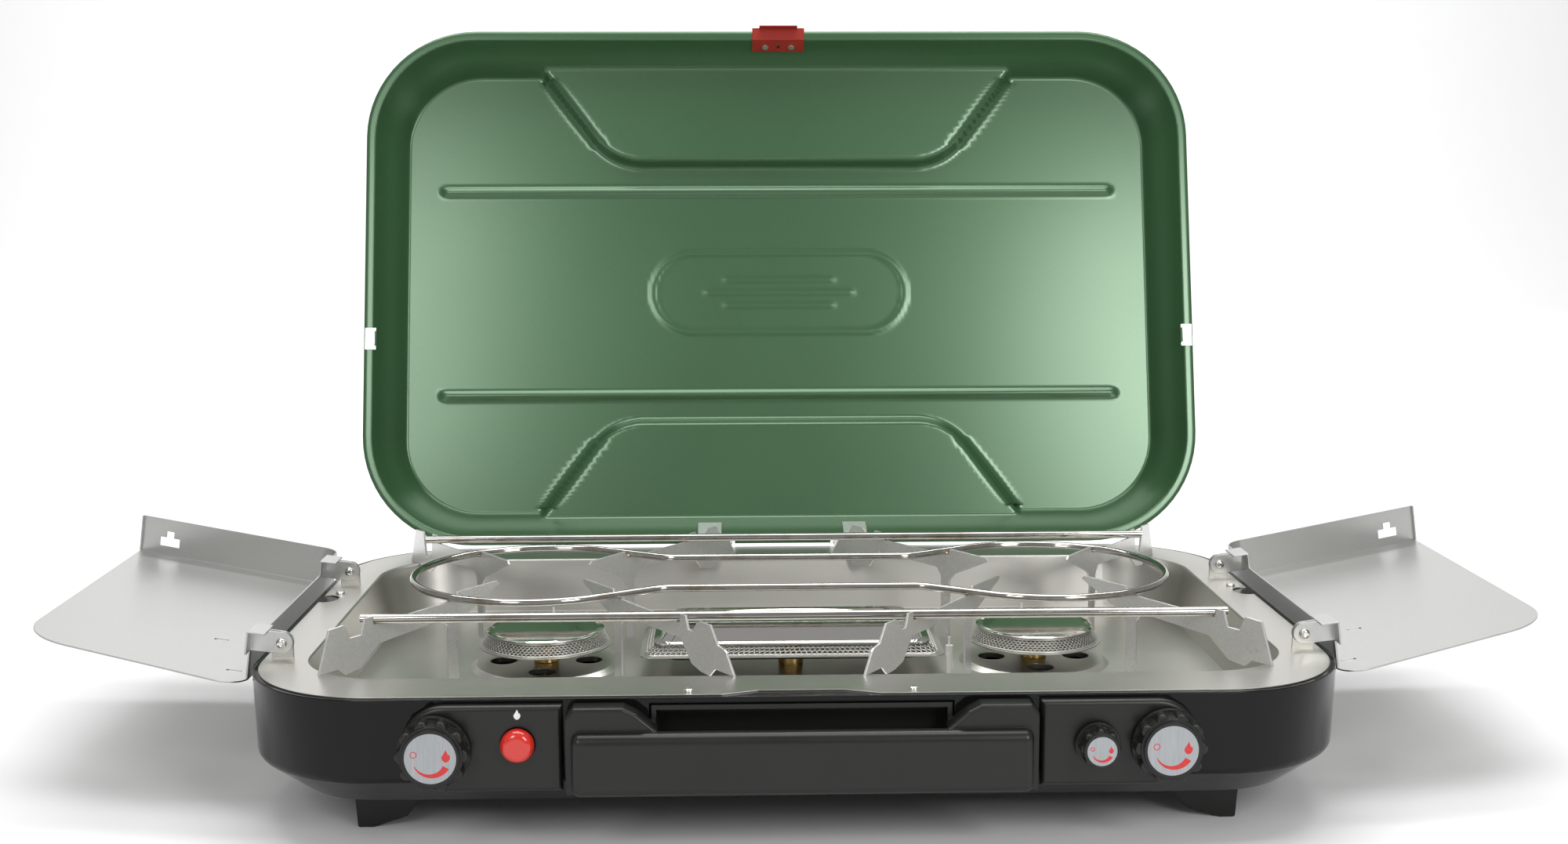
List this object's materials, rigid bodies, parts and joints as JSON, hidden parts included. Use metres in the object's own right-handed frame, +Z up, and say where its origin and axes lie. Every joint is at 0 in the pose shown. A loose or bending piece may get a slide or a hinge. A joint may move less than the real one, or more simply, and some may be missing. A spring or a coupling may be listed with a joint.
{
  "type": "camp stove",
  "caption": "Portable propane camp stove with round and griddle burners, lift-out wire grate, folding windscreens, hinged lid, carry handle, control knobs and push-button igniter.",
  "frame": {"origin": "middle of the open stove's footprint, on the ground the feet stand on", "axes": "+Z up, +X to the user's right along the stove's width, +Y away from the user towards the lid"},
  "size_m": [1.0216, 0.591, 0.5225],
  "materials": {
    "black_enamel": "gloss enamel",
    "stainless_steel": "brushed",
    "polished_steel": "polished",
    "black_plastic": "satin moulded",
    "dial_foil": "brushed",
    "brass": "machined",
    "ceramic": "glazed ceramic",
    "red_plastic": "gloss",
    "green_paint": "satin metallic paint",
    "red_paint": "satin",
    "silver_paint": "satin silver",
    "chrome_wire": "nickel-chrome plated",
    "zinc_sheet": "zinc-plated sheet",
    "plated_fasteners": "plated"
  },
  "bodies": {
    "stove_body": {"case_shell": "black_enamel", "top_pan": "stainless_steel", "foot_front_left": "black_plastic", "foot_front_right": "black_plastic", "foot_rear_left": "black_plastic", "foot_rear_right": "black_plastic", "control_panel_left": "black_plastic", "control_panel_right": "black_plastic", "carry_handle": "black_plastic", "igniter_body": "black_plastic", "valve_bodies": "brass", "manifold_pipe": "stainless_steel", "gas_inlet": "brass", "mixer_tube_left": "stainless_steel", "mixer_tube_centre": "stainless_steel", "mixer_tube_right": "stainless_steel", "burner_left_bowl": "stainless_steel", "burner_left_port_ring": "stainless_steel", "burner_left_cap": "polished_steel", "burner_right_bowl": "stainless_steel", "burner_right_port_ring": "stainless_steel", "burner_right_cap": "polished_steel", "burner_stubs": "brass", "griddle_burner_tray": "stainless_steel", "griddle_burner_port_band": "stainless_steel", "griddle_burner_cap": "polished_steel", "electrodes": "ceramic", "hinge_leaves_case": "zinc_sheet", "hinge_pins": "plated_fasteners", "rim_screws": "plated_fasteners"},
    "lid": {"lid_shell": "green_paint", "lid_latch": "red_paint", "lid_latch_rivets": "plated_fasteners", "lid_clips": "zinc_sheet", "hinge_leaves_lid": "zinc_sheet"},
    "windscreen_left": {"windscreen_left": "silver_paint", "windscreen_left_rivets": "plated_fasteners"},
    "windscreen_right": {"windscreen_right": "silver_paint", "windscreen_right_rivets": "plated_fasteners"},
    "grate": {"grate_rail_front": "chrome_wire", "grate_rail_rear": "chrome_wire", "grate_ring_loop": "chrome_wire", "grate_blade_outer_front_left": "zinc_sheet", "grate_blade_outer_front_right": "zinc_sheet", "grate_blade_outer_rear_left": "zinc_sheet", "grate_blade_outer_rear_right": "zinc_sheet", "grate_blade_inner_front_left": "zinc_sheet", "grate_blade_inner_front_right": "zinc_sheet", "grate_blade_inner_rear_left": "zinc_sheet", "grate_blade_inner_rear_right": "zinc_sheet"},
    "knob_left": {"knob_left": "black_plastic", "knob_left_dial": "dial_foil", "knob_left_stem": "brass"},
    "knob_centre": {"knob_centre": "black_plastic", "knob_centre_dial": "dial_foil", "knob_centre_stem": "brass"},
    "knob_right": {"knob_right": "black_plastic", "knob_right_dial": "dial_foil", "knob_right_stem": "brass"},
    "igniter_button": {"igniter_button": "red_plastic"}
  },
  "joints": [
    {"name": "lid_hinge", "type": "hinge", "parent": "stove_body", "child": "lid", "pos_m": [0, 0.15587, 0.0987], "axis": [-1, 0, 0], "range_deg": [-93, 0]},
    {"name": "windscreen_left_hinge", "type": "hinge", "parent": "stove_body", "child": "windscreen_left", "pos_m": [-0.3267, -0.05976, 0.1064], "axis": [0, -1, 0], "range_deg": [-172, 0]},
    {"name": "windscreen_right_hinge", "type": "hinge", "parent": "stove_body", "child": "windscreen_right", "pos_m": [0.3267, -0.05976, 0.1064], "axis": [0, 1, 0], "range_deg": [-172, 0]},
    {"name": "knob_left_turn", "type": "hinge", "parent": "stove_body", "child": "knob_left", "pos_m": [-0.2155, -0.28776, 0.067], "axis": [0, -1, 0], "range_deg": [0, 160]},
    {"name": "knob_centre_turn", "type": "hinge", "parent": "stove_body", "child": "knob_centre", "pos_m": [0.174, -0.28776, 0.067], "axis": [0, -1, 0], "range_deg": [0, 160]},
    {"name": "knob_right_turn", "type": "hinge", "parent": "stove_body", "child": "knob_right", "pos_m": [0.2155, -0.28776, 0.067], "axis": [0, -1, 0], "range_deg": [0, 160]},
    {"name": "igniter_push", "type": "slide", "parent": "stove_body", "child": "igniter_button", "axis": [0, 1, 0], "range_m": [0, 0.005], "stiffness_N_per_m": 800, "springref_m": -0.002},
    {"name": "grate_lift", "type": "slide", "parent": "stove_body", "child": "grate", "axis": [0, 0, 1], "range_m": [0, 0.08]}
  ]
}
